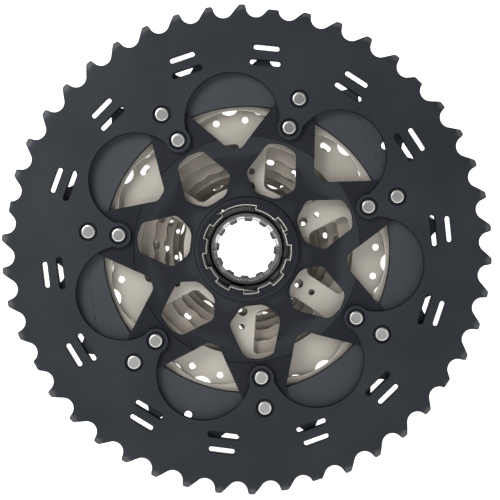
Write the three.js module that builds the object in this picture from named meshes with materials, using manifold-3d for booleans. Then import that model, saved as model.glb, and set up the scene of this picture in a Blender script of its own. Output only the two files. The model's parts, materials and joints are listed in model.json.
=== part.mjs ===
// An eleven-speed bicycle cassette sprocket set, in millimetres.
// The set turns about the Y axis. Outboard, towards the smallest sprocket and its lock ring, is +Y.
// The origin is on that axis, at the flat inboard end of the carrier's hub, which seats on the freehub.
// Pieces are drawn face on, looking outboard: x to the right, y up, and depth growing outboard.
// The group at the end turns that drawing upright, so that drawn y becomes Z and depth becomes Y.
import * as THREE from "three";
import { mergeVertices } from "three/addons/utils/BufferGeometryUtils.js";
import Module from "manifold-3d";

const wasm = await Module();
wasm.setup();

// Chain and teeth.
const chainPitch = 12.7;
const rollerSeatRadius = 3.95;
const shallowSeatAngle = 50;
const steepSeatAngle = 70;
const seatSteps = 3;
const largeTipRise = 1.05;
const middleTipRise = 1.2;
const smallTipRise = 1.6;
const tipWidth = 2.2;
const tipLean = -0.9;
const steepFlankRun = 0.35;
const shallowFlankRun = 0.85;
const gateLeadDrop = 0.5;
const gateTrailDrop = 1.6;

// Spacing along the axis.
const planePitch = 3.9;
const largeThickness = 2.0;
const plateThickness = 1.8;
const largeOverhang = 2.0;

// Splined bore, shared by the carrier and the eight small sprockets.
const splineMajorRadius = 17.1;
const splineDepth = 1.5;
const grooveHalfAngle = 9.7;
const grooveSpacing = 40;
const firstGrooveAngle = 155.8;
const plainGrooves = 7;
const keyGrooveAngle = 101.8;
const keyGrooveHalfAngle = 23.8;

// Rivets, on two circles, one pair to each arm of the carrier.
const armCount = 7;
const firstArmAngle = 19.35;
const rivetShankRadius = 1.6;
const rivetHeadLip = 0.9;
const rivetHeadThickness = 0.9;
const rivetHeadProud = 0.1;
const rivetTailLip = 0.8;
const rivetTailThickness = 0.6;
const rivetHoleClearance = 0.15;
const recessClearance = 0.8;
const outerRivetInset = 9.73;
const innerRivetInset = 11.33;
const rivetSides = 8;

// Largest sprocket: round scallops between the arms, round tabs at the inner rivets, pairs of slots.
const scallopRadius = 18.0;
const scallopOutset = 0.7;
const largeTabRadius = 5.0;
const slotSpread = 13.6;
const slotWidth = 1.9;
const outerSlotInset = 11.45;
const outerSlotLength = 10.1;
const innerSlotInset = 17.2;
const innerSlotLength = 12.0;

// Second and third sprockets.
const secondRingLand = 6.1;
const thirdPocketRadius = 24.2;
const thirdPocketInset = 19.5;
const thirdTabRadius = 4.8;

// Carrier: a hub, a dished floor with windows, a cone up to the arms, and a pad behind each inner rivet.
const hubWall = 3.0;
const hubEdge = 0.5;
const dishDepth = 3.4;
const floorThickness = 2.8;
const discInset = 5.8;
const discStep = 0.35;
const coneWidth = 5.2;
const armNoseRadius = 6.4;
const padRadius = 4.7;
const pocketBottomStep = 0.6;
const pocketBottomHalfWidth = 2.4;
const pocketCornerRadius = 2.3;
const windowHubLand = 1.8;
const windowRimLand = 0.9;
const windowShoulder = 1.3;
const windowWaist = 6.3;
const windowInnerHalfWidth = 4.4;
const windowWaistHalfWidth = 10.2;
const windowShoulderHalfWidth = 5.8;
const windowCornerRadius = 3.0;

// Small sprockets with six arms each.
const smallArmCount = 6;
const firstSmallArmAngle = 26.4;
const smallArmHalfWidth = 5.2;
const smallWindowCornerRadius = 3.6;
const blockHubWall = 7.6;
const smallHubWall = 5.6;

// Holes of the 28-tooth sprocket, and the pins that hold the block of four together.
const lightHoleRadius = 1.3;
const lightHoleInset = 2.2;
const lightSlotLength = 4.7;
const armHoleRadius = 1.5;
const armHoleInset = 6.1;
const pinRadius = 1.05;
const pinClearance = 0.15;
const pinCircleInset = 4.13;
const pinRecess = 0.4;

// Spacers, lock washer and lock ring.
const spacerBoreClearance = 0.2;
const spacerWall = 2.7;
const thirteenBossWall = 2.4;
const elevenBossWall = 0.85;
const washerThickness = 0.5;
const washerRimInset = 0.4;
const lockFlangeLip = 2.3;
const lockFlangeThickness = 1.6;
const lockBarrelLength = 8.0;
const lockBarrelClearance = 0.3;
const lockToolLength = 4.6;
const lockBarrelWall = 1.9;
const toolToothCount = 12;
const toolReliefStep = 1.25;
const toolToothHeight = 0.95;
const firstToolToothAngle = 26.4;
const toolRootAngle = 18;
const toolTipAngle = 12;

// How finely round shapes are drawn, in straight sides to a full turn or to one arc.
const carrierSides = 42;
const ringSides = 22;
const holeSides = 6;
const windowSteps = 1;
const arcSteps = 3;
const scallopHalfSteps = 5;

// One row for each sprocket, largest first: its teeth, the direction of one tooth, and its tip height.
// gates are the first of each pair of teeth cut low, so that the chain can climb there.
// land is the width of the ring from the tooth roots in to the windows.
const sprockets = [
  { teeth: 46, phase: 5.62, rise: largeTipRise, gates: [4, 9, 20, 25, 35, 40] },
  { teeth: 37, phase: 85.1, rise: middleTipRise, gates: [3, 12, 21, 30] },
  { teeth: 32, phase: 64.4, rise: middleTipRise, gates: [2, 10, 18, 26] },
  { teeth: 28, phase: 0.8, rise: smallTipRise, gates: [4, 11, 18, 25], land: 11.5 },
  { teeth: 24, phase: 52.7, rise: smallTipRise, gates: [2, 10, 18], land: 8.1 },
  { teeth: 21, phase: 6.0, rise: smallTipRise, gates: [3, 10, 17], land: 6.26 },
  { teeth: 19, phase: 9.6, rise: smallTipRise, gates: [3, 12], land: 5.23 },
  { teeth: 17, phase: 17.6, rise: smallTipRise, gates: [2, 10], land: 3.31 },
  { teeth: 15, phase: 7.4, rise: smallTipRise, gates: [] },
  { teeth: 13, phase: 6.0, rise: smallTipRise, gates: [] },
  { teeth: 11, phase: 18.0, rise: smallTipRise, gates: [] },
];

// Finishes.
const blackSteel = { color: 0x2b2f34, roughness: 0.55, metalness: 0.5 };
const blackAlloy = { color: 0x24272c, roughness: 0.6, metalness: 0.5 };
const nickel = { color: 0xa8a297, roughness: 0.35, metalness: 0.9 };
const rivetSteel = { color: 0xb8b5ae, roughness: 0.3, metalness: 0.9 };
const blackPlastic = { color: 0x1c1c1d, roughness: 0.7, metalness: 0.0 };
const lockSteel = { color: 0x6e6e6d, roughness: 0.25, metalness: 1.0 };

// Sizes that follow from the driving dimensions.
const splineMinorRadius = splineMajorRadius - splineDepth;
const pitchRadius = (teeth) => chainPitch / (2 * Math.sin(Math.PI / teeth));
const rootRadius = (teeth) => pitchRadius(teeth) - rollerSeatRadius;
const placeOf = (teeth) => sprockets.findIndex((sprocket) => sprocket.teeth === teeth);
const thicknessOf = (teeth) => (teeth === 46 ? largeThickness : plateThickness);
const planeOf = (teeth) => largeThickness / 2 - largeOverhang + placeOf(teeth) * planePitch;
const inboardFace = (teeth) => planeOf(teeth) - thicknessOf(teeth) / 2;
const outboardFace = (teeth) => planeOf(teeth) + thicknessOf(teeth) / 2;
const outerRivetCircle = rootRadius(37) - outerRivetInset;
const innerRivetCircle = rootRadius(32) - innerRivetInset;
const recessDepth = rivetHeadThickness - rivetHeadProud;
const discRadius = innerRivetCircle - discInset;
const floorRadius = discRadius - coneWidth;
const pinCircle = rootRadius(19) - pinCircleInset;
const armAngles = repeatAngles(armCount, firstArmAngle);
const smallArmAngles = repeatAngles(smallArmCount, firstSmallArmAngle);
const washerFace = outboardFace(11);
const flangeFace = washerFace + washerThickness;
const hubRadius = splineMajorRadius + hubWall;
const spacerBore = splineMajorRadius + spacerBoreClearance;
const spacerRadius = spacerBore + spacerWall;
const bossRadii = { 13: splineMajorRadius + thirteenBossWall, 11: splineMajorRadius + elevenBossWall };
const rivetHeadRadius = rivetShankRadius + rivetHeadLip;
const rivetTailRadius = rivetShankRadius + rivetTailLip;
const lockBarrelRadius = splineMinorRadius - lockBarrelClearance;
const lockFlangeRadius = lockBarrelRadius + lockFlangeLip;
const lockBoreRadius = lockBarrelRadius - lockBarrelWall;
const toolRootRadius = lockBoreRadius - toolReliefStep;
const toolTipRadius = toolRootRadius - toolToothHeight;

function repeatAngles(count, first) {
  return Array.from({ length: count }, (_, index) => first + (index * 360) / count);
}

// A point at a radius and an angle in degrees, with an optional sideways offset.
function polar(radius, degrees, across = 0) {
  const angle = THREE.MathUtils.degToRad(degrees);
  return new THREE.Vector2(radius, across).rotateAround(new THREE.Vector2(), angle);
}

// A round outline about a centre.
function circle(centre, radius, sides) {
  return repeatAngles(sides, 0).map((angle) => polar(radius, angle).add(centre));
}

// The points of an arc between two points that both lie at one radius from a centre, the short way.
function arc(centre, from, to, steps) {
  const spoke = from.clone().sub(centre);
  const last = to.clone().sub(centre);
  const sweep = Math.atan2(spoke.cross(last), spoke.dot(last));
  return Array.from({ length: steps + 1 }, (_, index) =>
    spoke.clone().rotateAround(new THREE.Vector2(), (sweep * index) / steps).add(centre),
  );
}

// A closed outline with round corners. Each corner is a point and the radius that rounds it.
// A corner's rounding stops short of the middle of its shorter side.
function rounded(corners, steps) {
  return corners.flatMap(({ point, radius }, index) => {
    if (!radius) return [point];
    const back = corners.at(index - 1).point.clone().sub(point);
    const ahead = corners[(index + 1) % corners.length].point.clone().sub(point);
    const halfAngle = back.angleTo(ahead) / 2;
    const room = 0.48 * Math.min(back.length(), ahead.length());
    const reach = Math.min(radius / Math.tan(halfAngle), room);
    const start = back.clone().setLength(reach);
    const end = ahead.clone().setLength(reach);
    const toCentre = start.clone().add(end).setLength(reach / Math.cos(halfAngle));
    const centre = toCentre.add(point);
    return arc(centre, start.add(point), end.add(point), steps);
  });
}

function spun(points, degrees) {
  const angle = THREE.MathUtils.degToRad(degrees);
  return points.map((point) => point.clone().rotateAround(new THREE.Vector2(), angle));
}

// Where two circles cross, on the side that lies further from the axis.
function crossing(centreA, radiusA, centreB, radiusB) {
  const between = centreB.clone().sub(centreA);
  const distance = between.length();
  const along = (distance ** 2 + radiusA ** 2 - radiusB ** 2) / (2 * distance);
  const across = Math.sqrt(Math.max(radiusA ** 2 - along ** 2, 0));
  const foot = between.clone().setLength(along).add(centreA);
  const side = new THREE.Vector2(-between.y, between.x).setLength(across);
  const ends = [foot.clone().add(side), foot.clone().sub(side)];
  return ends[0].length() > ends[1].length() ? ends[0] : ends[1];
}

// A flat plate cut to an outline, with holes, between two depths.
function plate(outline, holes, inboard, outboard) {
  const shape = new THREE.Shape(outline);
  shape.holes = holes.map((points) => new THREE.Path(points));
  const options = { depth: outboard - inboard, bevelEnabled: false };
  return new THREE.ExtrudeGeometry(shape, options).translate(0, 0, -outboard);
}

// A turned piece. Its profile is radius and depth pairs, from the inboard end round to the outboard end.
function turned(profile, sides) {
  const points = profile.map(([radius, depth]) => new THREE.Vector2(radius, -depth)).reverse();
  return new THREE.LatheGeometry(points, sides).rotateX(Math.PI / 2);
}

// A turned ring with a square section.
function squareRing(inner, outer, inboard, outboard, sides) {
  const start = [inner, inboard];
  return turned([start, [outer, inboard], [outer, outboard], [inner, outboard], start], sides);
}

function solidOf(geometry) {
  const bare = geometry.index ? geometry.toNonIndexed() : geometry.clone();
  bare.deleteAttribute("normal");
  bare.deleteAttribute("uv");
  const merged = mergeVertices(bare, 1e-4);
  const triVerts = new Uint32Array(merged.index.array);
  const vertProperties = merged.attributes.position.array;
  return new wasm.Manifold(new wasm.Mesh({ numProp: 3, vertProperties, triVerts }));
}

function geometryOf(solid) {
  const { vertProperties, triVerts } = solid.getMesh();
  const geometry = new THREE.BufferGeometry();
  geometry.setAttribute("position", new THREE.BufferAttribute(vertProperties, 3));
  geometry.setIndex(new THREE.BufferAttribute(triVerts, 1));
  geometry.computeVertexNormals();
  return geometry;
}

// The toothed rim. Each round seat for a roller runs up almost straight on one side and lies back on
// the other, so that the chain can climb off.
function toothedOutline({ teeth, phase, rise, gates }) {
  const step = 360 / teeth;
  const pitchCircle = pitchRadius(teeth);
  return Array.from({ length: teeth }).flatMap((_, index) => {
    const toothAngle = phase + index * step;
    const lead = gates.includes(index) ? gateLeadDrop : 0;
    const trail = gates.includes(index - 1) ? gateTrailDrop : 0;
    const drop = lead + trail;
    const tip = pitchCircle + rise - drop;
    const steepEnd = tipLean - tipWidth / 2 - drop * steepFlankRun;
    const shallowEnd = tipLean + tipWidth / 2 + drop * shallowFlankRun;
    const seatCentre = polar(pitchCircle, toothAngle + step / 2);
    const inward = toothAngle + step / 2 + 180;
    const seat = Array.from({ length: seatSteps + 1 }, (_unused, stop) => {
      const swing = shallowSeatAngle - ((shallowSeatAngle + steepSeatAngle) * stop) / seatSteps;
      return polar(rollerSeatRadius, inward + swing).add(seatCentre);
    });
    return [polar(tip, toothAngle, steepEnd), polar(tip, toothAngle, shallowEnd), ...seat];
  });
}

// The splined bore: nine-step pattern of grooves, one of them wide so that it fits only one way round.
function splinedBore() {
  const plain = Array.from({ length: plainGrooves }, (_, index) => ({
    angle: firstGrooveAngle + index * grooveSpacing,
    half: grooveHalfAngle,
  }));
  const key = { angle: keyGrooveAngle + 360, half: keyGrooveHalfAngle };
  const grooves = [...plain, key];
  return grooves.flatMap(({ angle, half }, index) => {
    const next = grooves[(index + 1) % grooves.length];
    const nextStart = next.angle - next.half + (index === grooves.length - 1 ? 360 : 0);
    const landMiddle = (angle + half + nextStart) / 2;
    const swings = half > grooveHalfAngle ? [-half, 0, half] : [-half, half];
    const floor = swings.map((swing) => polar(splineMajorRadius, angle + swing));
    return [
      polar(splineMinorRadius, angle - half),
      ...floor,
      polar(splineMinorRadius, angle + half),
      polar(splineMinorRadius, landMiddle),
    ];
  });
}

// An opening with a round scallop between each pair of arms, and a round tab at each inner rivet.
function scallopedOpening(pocketCentreRadius, pocketRadius, tabRadius) {
  const halfStep = 180 / armCount;
  return armAngles.flatMap((angle) => {
    const tab = polar(innerRivetCircle, angle);
    const tabTip = polar(innerRivetCircle - tabRadius, angle);
    const pocket = polar(pocketCentreRadius, angle + halfStep);
    const pocketBefore = polar(pocketCentreRadius, angle - halfStep);
    const nextTab = polar(innerRivetCircle, angle + 2 * halfStep);
    const start = crossing(tab, tabRadius, pocketBefore, pocketRadius);
    const leave = crossing(tab, tabRadius, pocket, pocketRadius);
    const arrive = crossing(nextTab, tabRadius, pocket, pocketRadius);
    const top = polar(pocketCentreRadius + pocketRadius, angle + halfStep);
    return [
      ...arc(tab, start, tabTip, arcSteps),
      ...arc(tab, tabTip, leave, arcSteps).slice(1),
      ...arc(pocket, leave, top, scallopHalfSteps).slice(1),
      ...arc(pocket, top, arrive, scallopHalfSteps).slice(1, -1),
    ];
  });
}

// A straight slot with round ends, square to the radius through its middle.
function slot(radius, degrees, length, width) {
  const end = width / 2;
  const reach = length / 2 - end;
  const half = [0, -90, 180].map((turn) => polar(end, turn).add(new THREE.Vector2(0, -reach)));
  const other = half.map((point) => point.clone().negate());
  return spun([...half, ...other].map((point) => point.setX(point.x + radius)), degrees);
}

function rivetHoles(circleRadius) {
  const radius = rivetShankRadius + rivetHoleClearance;
  return armAngles.map((angle) => circle(polar(circleRadius, angle), radius, rivetSides));
}

// Windows between the six arms of a small sprocket.
function smallWindows(innerRadius, outerRadius) {
  const halfStep = 180 / smallArmCount;
  const halfAngleAt = (radius) =>
    halfStep - THREE.MathUtils.radToDeg(Math.asin(smallArmHalfWidth / radius));
  const innerHalf = halfAngleAt(innerRadius);
  const outerHalf = halfAngleAt(outerRadius);
  const corner = (radius, angle, round) => ({ point: polar(radius, angle), radius: round });
  const round = Math.min(smallWindowCornerRadius, (outerRadius - innerRadius) / 3);
  return smallArmAngles.map((armAngle) => {
    const middle = armAngle + halfStep;
    return rounded(
      [
        corner(innerRadius, middle - innerHalf, round),
        corner(outerRadius, middle - outerHalf, round),
        corner(outerRadius, middle - outerHalf / 3, 0),
        corner(outerRadius, middle + outerHalf / 3, 0),
        corner(outerRadius, middle + outerHalf, round),
        corner(innerRadius, middle + innerHalf, round),
      ],
      windowSteps,
    );
  });
}

function pinHoles() {
  const angles = smallArmAngles.filter((_, index) => index % 2 === 1);
  return angles.map((angle) => circle(polar(pinCircle, angle), pinRadius + pinClearance, holeSides));
}

function largeSprocket() {
  const scallopCentre = innerRivetCircle + scallopOutset;
  const root = rootRadius(46);
  const slots = armAngles.flatMap((angle) =>
    [-slotSpread, slotSpread].flatMap((spread) => [
      slot(root - outerSlotInset, angle + spread, outerSlotLength, slotWidth),
      slot(root - innerSlotInset, angle + spread, innerSlotLength, slotWidth),
    ]),
  );
  const opening = scallopedOpening(scallopCentre, scallopRadius, largeTabRadius);
  const holes = [opening, ...slots, ...rivetHoles(outerRivetCircle), ...rivetHoles(innerRivetCircle)];
  const face = inboardFace(46);
  let solid = solidOf(plate(toothedOutline(sprockets[0]), holes, face, outboardFace(46)));
  const recess = circle(new THREE.Vector2(), rivetHeadRadius + recessClearance, rivetSides);
  const cutter = plate(recess, [], face - 1, face + recessDepth);
  for (const radius of [outerRivetCircle, innerRivetCircle]) {
    for (const angle of armAngles) {
      const { x, y } = polar(radius, angle);
      solid = solid.subtract(solidOf(cutter.clone().translate(x, y, 0)));
    }
  }
  return geometryOf(solid);
}

function secondSprocket() {
  const bore = circle(new THREE.Vector2(), outerRivetCircle - secondRingLand, carrierSides);
  const holes = [bore, ...rivetHoles(outerRivetCircle)];
  return plate(toothedOutline(sprockets[1]), holes, inboardFace(37), outboardFace(37));
}

function thirdSprocket() {
  const pocketCentre = innerRivetCircle - thirdPocketInset;
  const opening = scallopedOpening(pocketCentre, thirdPocketRadius, thirdTabRadius);
  const holes = [opening, ...rivetHoles(innerRivetCircle)];
  return plate(toothedOutline(sprockets[2]), holes, inboardFace(32), outboardFace(32));
}

// The outline of the carrier: a round nose at the end of each arm, and a pocket between each pair.
function carrierOutline() {
  const halfStep = 180 / armCount;
  const pocketBottom = floorRadius + pocketBottomStep;
  return armAngles.flatMap((angle) => {
    const nose = polar(outerRivetCircle, angle);
    const sides = [-1, 1].map((side) => {
      const across = -side * pocketBottomHalfWidth;
      const corner = polar(pocketBottom, angle + side * halfStep, across);
      const toNose = nose.clone().sub(corner);
      const reach = Math.sqrt(toNose.lengthSq() - armNoseRadius ** 2);
      const swing = Math.asin(armNoseRadius / toNose.length());
      const touch = toNose.clone().setLength(reach);
      touch.rotateAround(new THREE.Vector2(), side * swing).add(corner);
      return { corner, touch };
    });
    const tip = polar(outerRivetCircle + armNoseRadius, angle);
    const bottoms = sides.map(({ corner }) => ({ point: corner, radius: pocketCornerRadius }));
    const noseArc = [
      ...arc(nose, sides[0].touch, tip, arcSteps),
      ...arc(nose, tip, sides[1].touch, arcSteps).slice(1),
    ];
    return [bottoms[0], ...noseArc.map((point) => ({ point, radius: 0 })), bottoms[1]];
  });
}

// A six-cornered window in the dish, pointed towards the rim.
function carrierWindow(degrees) {
  const inner = hubRadius + windowHubLand;
  const outer = discRadius - windowRimLand;
  const half = [
    [inner, windowInnerHalfWidth],
    [inner + windowWaist, windowWaistHalfWidth],
    [outer - windowShoulder, windowShoulderHalfWidth],
  ];
  const mirrored = half.map(([along, across]) => [along, -across]).reverse();
  const ordered = [...half, ...mirrored].map(([along, across]) => ({
    point: new THREE.Vector2(along, across),
    radius: windowCornerRadius,
  }));
  const rimPoint = { point: new THREE.Vector2(outer, 0), radius: 0 };
  ordered.splice(3, 0, rimPoint);
  return spun(rounded(ordered, arcSteps), degrees);
}

function carrier() {
  const armFace = outboardFace(46);
  const armBack = inboardFace(37);
  const floorBack = dishDepth + floorThickness;
  const hubEnd = inboardFace(28);
  const beyond = outerRivetCircle + armNoseRadius + 1;
  const core = splineMinorRadius - 1;
  const profile = [
    [core, 0],
    [hubRadius - hubEdge, 0],
    [hubRadius, hubEdge],
    [hubRadius, dishDepth],
    [floorRadius, dishDepth],
    [discRadius, armFace + discStep],
    [discRadius, armFace],
    [beyond, armFace],
    [beyond, armBack],
    [discRadius, armBack],
    [floorRadius, floorBack],
    [hubRadius, floorBack],
    [hubRadius, hubEnd],
    [core, hubEnd],
    [core, 0],
  ];
  const outline = rounded(carrierOutline(), arcSteps);
  let solid = solidOf(turned(profile, carrierSides));
  solid = solid.intersect(solidOf(plate(outline, [], -1, hubEnd + 1)));
  for (const angle of armAngles) {
    const pad = circle(polar(innerRivetCircle, angle), padRadius, 2 * rivetSides);
    solid = solid.add(solidOf(plate(pad, [], (armFace + armBack) / 2, inboardFace(32))));
  }
  const cuts = [
    splinedBore(),
    ...armAngles.map(carrierWindow),
    ...rivetHoles(outerRivetCircle),
    ...rivetHoles(innerRivetCircle),
  ];
  for (const cut of cuts) {
    solid = solid.subtract(solidOf(plate(cut, [], -1, hubEnd + 1)));
  }
  return geometryOf(solid);
}

// A rivet through the stack, its flat head inboard in a recess and its set end outboard.
function rivet(lastFace) {
  const headUnder = inboardFace(46) + recessDepth;
  const profile = [
    [0, headUnder - rivetHeadThickness],
    [rivetHeadRadius, headUnder - rivetHeadThickness],
    [rivetHeadRadius, headUnder],
    [rivetShankRadius, headUnder],
    [rivetShankRadius, lastFace],
    [rivetTailRadius, lastFace],
    [rivetTailRadius, lastFace + rivetTailThickness],
    [0, lastFace + rivetTailThickness],
  ];
  return turned(profile, rivetSides);
}

// The holes of the 28-tooth sprocket: under some of its teeth, and two on each arm.
function blockFaceHoles() {
  const [{ teeth, phase }] = sprockets.filter((sprocket) => sprocket.teeth === 28);
  const toothAngle = (index) => phase + (index * 360) / teeth;
  const lightRadius = rootRadius(teeth) - lightHoleInset;
  const roundHoles = [0, 7, 8, 15, 19, 20, 27].map((index) =>
    circle(polar(lightRadius, toothAngle(index)), lightHoleRadius, holeSides),
  );
  const longHoles = [4, 11].map((index) =>
    slot(lightRadius, toothAngle(index), lightSlotLength, 2 * lightHoleRadius),
  );
  const freeArms = smallArmAngles.filter((_, index) => index % 2 === 0);
  const sparePinHoles = freeArms.map((angle) => circle(polar(pinCircle, angle), pinRadius, holeSides));
  const armHoles = smallArmAngles.map((angle) =>
    circle(polar(pinCircle - armHoleInset, angle), armHoleRadius, holeSides),
  );
  return [...roundHoles, ...longHoles, ...sparePinHoles, ...armHoles];
}

// A small sprocket on the splined bore. Windows, pin holes and face holes depend on its place.
function smallSprocket(sprocket) {
  const { teeth, land } = sprocket;
  const holes = [splinedBore()];
  if (land) {
    const hubWall = teeth === 28 ? blockHubWall : smallHubWall;
    holes.push(...smallWindows(splineMajorRadius + hubWall, rootRadius(teeth) - land));
  }
  if (teeth >= 19) holes.push(...pinHoles());
  if (teeth === 28) holes.push(...blockFaceHoles());
  return plate(toothedOutline(sprocket), holes, inboardFace(teeth), outboardFace(teeth));
}

// The two smallest sprockets carry their spacer as a boss on the inboard side.
function bossedSprocket(sprocket, before, bossRadius) {
  const disc = solidOf(smallSprocket(sprocket));
  const middle = planeOf(sprocket.teeth);
  const outline = circle(new THREE.Vector2(), bossRadius, 2 * ringSides);
  const boss = plate(outline, [splinedBore()], outboardFace(before), middle);
  return geometryOf(disc.add(solidOf(boss)));
}

function spacer(before, after) {
  return squareRing(spacerBore, spacerRadius, outboardFace(before), inboardFace(after), ringSides);
}

function blockPin() {
  const outline = circle(new THREE.Vector2(), pinRadius, holeSides);
  return plate(outline, [], inboardFace(28) + pinRecess, outboardFace(19) - pinRecess);
}

function lockWasher() {
  const inner = lockBarrelRadius + lockBarrelClearance;
  return squareRing(inner, lockFlangeRadius - washerRimInset, washerFace, flangeFace, ringSides);
}

// The tool socket of the lock ring: a round bore with square teeth left standing inwards.
function toolSocket() {
  const step = 360 / toolToothCount;
  return Array.from({ length: toolToothCount }).flatMap((_, index) => {
    const tooth = firstToolToothAngle + index * step;
    return [
      polar(toolRootRadius, tooth - toolRootAngle / 2),
      polar(toolTipRadius, tooth - toolTipAngle / 2),
      polar(toolTipRadius, tooth + toolTipAngle / 2),
      polar(toolRootRadius, tooth + toolRootAngle / 2),
    ];
  });
}

// The lock ring: a flange outboard of the washer, and a threaded barrel that reaches inboard.
function lockRing() {
  const flangeEnd = flangeFace + lockFlangeThickness;
  const barrelEnd = flangeFace - lockBarrelLength;
  const core = toolTipRadius - 1;
  const start = [core, barrelEnd];
  const profile = [
    start,
    [lockBarrelRadius, barrelEnd],
    [lockBarrelRadius, flangeFace],
    [lockFlangeRadius, flangeFace],
    [lockFlangeRadius, flangeEnd],
    [core, flangeEnd],
    start,
  ];
  const socket = plate(toolSocket(), [], barrelEnd - 1, flangeEnd + 1);
  const wideBore = circle(new THREE.Vector2(), lockBoreRadius, 2 * ringSides);
  const relief = plate(wideBore, [], barrelEnd - 1, flangeEnd - lockToolLength);
  const blank = solidOf(turned(profile, 2 * ringSides));
  return geometryOf(blank.subtract(solidOf(socket)).subtract(solidOf(relief)));
}

const cassette = new THREE.Group();
cassette.rotation.x = Math.PI / 2;

function addPiece(name, geometry, finish, at = new THREE.Vector2()) {
  const mesh = new THREE.Mesh(geometry, new THREE.MeshStandardMaterial(finish));
  mesh.name = name;
  mesh.position.set(at.x, at.y, 0);
  cassette.add(mesh);
}

addPiece("carrier", carrier(), blackAlloy);
addPiece("sprocket_46t", largeSprocket(), blackSteel);
addPiece("sprocket_37t", secondSprocket(), blackSteel);
addPiece("sprocket_32t", thirdSprocket(), nickel);
armAngles.forEach((angle, index) => {
  const outer = polar(outerRivetCircle, angle);
  const inner = polar(innerRivetCircle, angle);
  addPiece(`outer_rivet_${index + 1}`, rivet(outboardFace(37)), rivetSteel, outer);
  addPiece(`inner_rivet_${index + 1}`, rivet(outboardFace(32)), rivetSteel, inner);
});

sprockets.slice(placeOf(28)).forEach((sprocket) => {
  const { teeth } = sprocket;
  const before = sprockets[placeOf(teeth) - 1].teeth;
  const bossRadius = bossRadii[teeth];
  const geometry = bossRadius ? bossedSprocket(sprocket, before, bossRadius) : smallSprocket(sprocket);
  addPiece(`sprocket_${teeth}t`, geometry, nickel);
});
sprockets.slice(placeOf(24), placeOf(13)).forEach(({ teeth }) => {
  const before = sprockets[placeOf(teeth) - 1].teeth;
  addPiece(`spacer_${before}_${teeth}`, spacer(before, teeth), blackPlastic);
});
smallArmAngles
  .filter((_, index) => index % 2 === 1)
  .forEach((angle, index) => {
    addPiece(`block_pin_${index + 1}`, blockPin(), rivetSteel, polar(pinCircle, angle));
  });
addPiece("lock_washer", lockWasher(), lockSteel);
addPiece("lock_ring", lockRing(), lockSteel);

export default cassette;
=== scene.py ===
# %% [markdown]
# # An eleven-speed bicycle cassette
# The set is a stack of toothed plates on one axis, which runs along Y. The largest plate faces -Y,
# and the smallest, with its lock ring, faces +Y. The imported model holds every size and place.
# Each piece below is modelled fine enough for close looks, in the place of its plain CAD node.

# %% Load the frame
import json
import math

import bmesh
import bpy
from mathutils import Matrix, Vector

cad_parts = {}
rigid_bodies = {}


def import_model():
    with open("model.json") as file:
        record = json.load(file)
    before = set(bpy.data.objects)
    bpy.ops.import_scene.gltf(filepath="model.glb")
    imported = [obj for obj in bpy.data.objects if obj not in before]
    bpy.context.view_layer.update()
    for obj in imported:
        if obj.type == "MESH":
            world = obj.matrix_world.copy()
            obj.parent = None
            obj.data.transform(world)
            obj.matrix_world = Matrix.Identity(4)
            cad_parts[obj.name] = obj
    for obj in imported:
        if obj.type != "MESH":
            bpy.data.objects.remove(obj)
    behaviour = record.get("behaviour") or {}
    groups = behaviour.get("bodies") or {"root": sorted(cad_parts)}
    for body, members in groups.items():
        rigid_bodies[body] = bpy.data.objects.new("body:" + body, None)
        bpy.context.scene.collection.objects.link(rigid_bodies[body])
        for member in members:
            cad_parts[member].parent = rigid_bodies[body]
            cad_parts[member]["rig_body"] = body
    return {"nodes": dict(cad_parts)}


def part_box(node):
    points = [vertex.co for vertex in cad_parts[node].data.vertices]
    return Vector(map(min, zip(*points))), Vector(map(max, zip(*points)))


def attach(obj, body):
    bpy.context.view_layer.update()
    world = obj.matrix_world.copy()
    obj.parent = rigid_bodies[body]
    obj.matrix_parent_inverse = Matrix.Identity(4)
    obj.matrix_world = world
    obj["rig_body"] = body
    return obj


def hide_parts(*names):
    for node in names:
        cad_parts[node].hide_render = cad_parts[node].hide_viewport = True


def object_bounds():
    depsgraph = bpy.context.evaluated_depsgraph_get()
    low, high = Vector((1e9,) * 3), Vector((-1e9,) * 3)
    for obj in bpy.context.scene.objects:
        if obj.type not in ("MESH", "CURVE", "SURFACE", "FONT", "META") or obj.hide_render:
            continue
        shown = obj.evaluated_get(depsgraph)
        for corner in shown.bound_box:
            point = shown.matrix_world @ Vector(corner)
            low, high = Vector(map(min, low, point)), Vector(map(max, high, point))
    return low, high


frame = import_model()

cad_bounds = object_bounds()
print("CAD box", cad_bounds)

# %% [markdown]
# ## Sizes
# Everything across the axis follows from the chain. A roller chain has a pitch of 12.7 mm, so a
# sprocket's pitch circle is known from its count of teeth alone, and its roots lie one roller seat
# further in. The rivets, windows and pockets are then placed from those roots, as a maker's drawing
# would do it, and everything along the axis is read from the frame.

# %% Sizes from the chain and the frame
MM = 0.001
CHAIN_PITCH = 12.7 * MM
SEAT_RADIUS = 3.95 * MM
TEETH = [46, 37, 32, 28, 24, 21, 19, 17, 15, 13, 11]
PHASES = [5.62, 85.1, 64.4, 0.8, 52.7, 6.0, 9.6, 17.6, 7.4, 6.0, 18.0]
ARM_COUNT = 7
FIRST_ARM = 19.35
SMALL_ARM_COUNT = 6
FIRST_SMALL_ARM = 26.4


def pitch_radius(teeth):
    return CHAIN_PITCH / (2 * math.sin(math.pi / teeth))


def root_radius(teeth):
    return pitch_radius(teeth) - SEAT_RADIUS


def faces_of(node):
    """The depths of a node's inboard and outboard faces."""
    low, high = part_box(node)
    return low.y, high.y


def polar(radius, degrees, depth=0.0):
    """A point at a radius and an angle, counted from +X towards +Z."""
    angle = math.radians(degrees)
    return Vector((radius * math.cos(angle), depth, radius * math.sin(angle)))


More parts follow.
